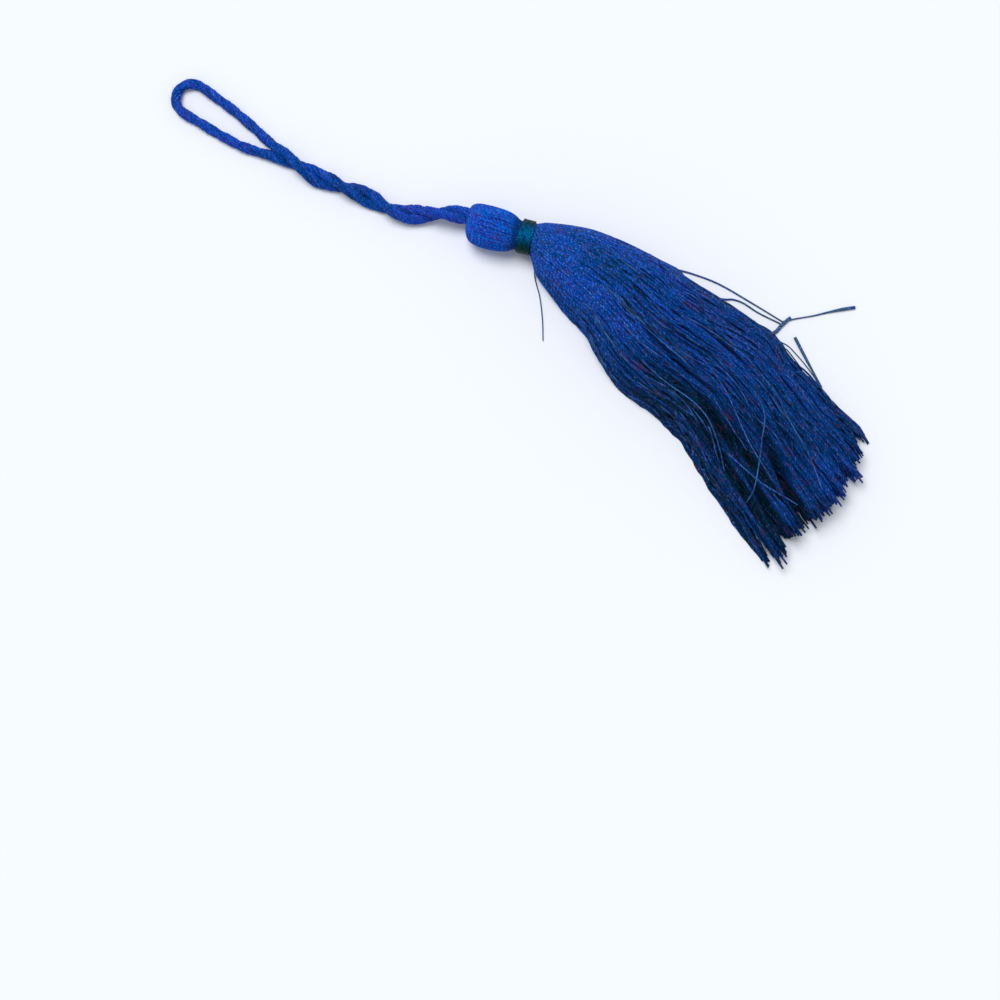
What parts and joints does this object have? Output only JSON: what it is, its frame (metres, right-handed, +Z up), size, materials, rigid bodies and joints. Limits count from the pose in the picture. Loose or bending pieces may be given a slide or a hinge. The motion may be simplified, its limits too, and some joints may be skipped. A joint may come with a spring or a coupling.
{
  "type": "thread tassel with hanging loop",
  "caption": "Thread tassel lying flat: rounded head, bound neck, cut fringe skirt and a twisted cord hanging loop.",
  "frame": {"origin": "on the floor under the middle of the head's and skirt's footprint, without the hanging loop", "axes": "+X from the head towards the skirt's cut end, +Y to the side of the loose threads, +Z up from the floor"},
  "size_m": [0.1195, 0.0323, 0.0089],
  "materials": {
    "skirt_thread": "fine twisted thread in royal blue with violet flecks, softly lustrous",
    "binding_thread": "glossy dark green thread wound side by side",
    "loop_cord": "soft plied cord of the skirt's blue thread"
  },
  "bodies": {
    "root": {"head_and_skirt": "skirt_thread", "neck_binding": "binding_thread", "hanging_loop": "loop_cord"}
  },
  "joints": []
}
